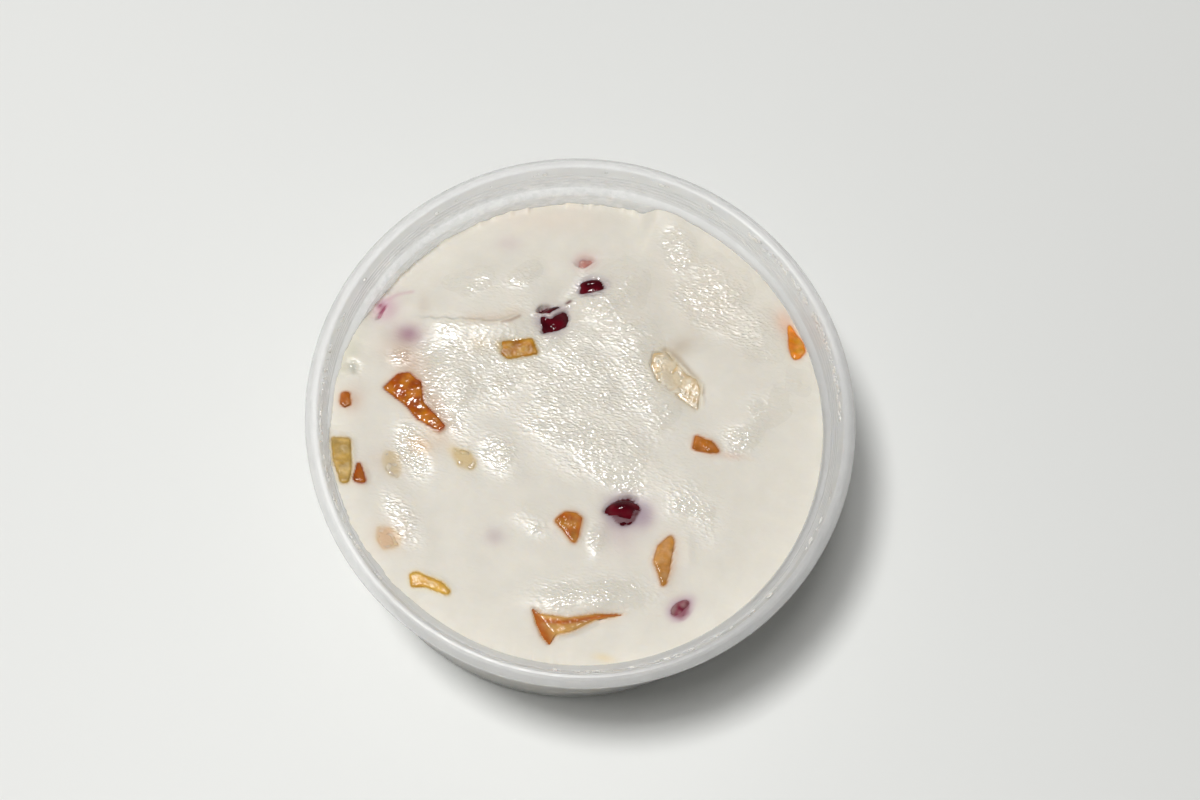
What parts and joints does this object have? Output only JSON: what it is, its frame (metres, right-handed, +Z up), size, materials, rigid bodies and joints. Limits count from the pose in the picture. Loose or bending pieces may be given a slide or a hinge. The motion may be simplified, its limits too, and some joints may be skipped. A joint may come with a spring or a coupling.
{
  "type": "open plastic tub of fruit cream dessert",
  "caption": "Open round translucent plastic tub with a folded rim, filled with thick white cream dessert that holds cut fruit and dark red seeds.",
  "frame": {"origin": "middle of the plane that the tub's foot ring rests on", "axes": "+Z up along the tub's axis, +Y to the back, +X to the right as seen from the front"},
  "size_m": [0.117, 0.117, 0.057],
  "materials": {
    "tub_plastic": "clear natural polypropylene, slightly hazy, smooth gloss",
    "cream": "thick strained yoghurt cream, off-white, moist sheen with fine wrinkles",
    "red_seed": "dark wine-red translucent seed flesh, wet gloss",
    "amber_fruit": "amber to orange-brown translucent fruit, wet gloss",
    "tan_fruit": "ochre fibrous fruit, moist",
    "yellow_fruit": "yellow fruit peel, moist",
    "pale_fruit": "pale translucent fruit flesh under a film of cream, moist"
  },
  "bodies": {
    "root": {"tub": "tub_plastic", "cream": "cream", "amber_chunk_1": "amber_fruit", "amber_chunk_2": "amber_fruit", "amber_chunk_3": "amber_fruit", "amber_chunk_4": "amber_fruit", "amber_chunk_5": "amber_fruit", "amber_chunk_6": "amber_fruit", "amber_chunk_7": "amber_fruit", "tan_chunk_1": "tan_fruit", "tan_chunk_2": "tan_fruit", "tan_chunk_3": "tan_fruit", "yellow_chunk_1": "yellow_fruit", "pale_chunk_1": "pale_fruit", "pale_chunk_2": "pale_fruit", "pale_chunk_3": "pale_fruit", "caramel_wedge": "amber_fruit", "red_seed_1": "red_seed", "red_seed_2": "red_seed", "red_seed_3": "red_seed", "red_seed_4": "red_seed", "red_seed_5": "red_seed", "red_seed_6": "red_seed"}
  },
  "joints": []
}
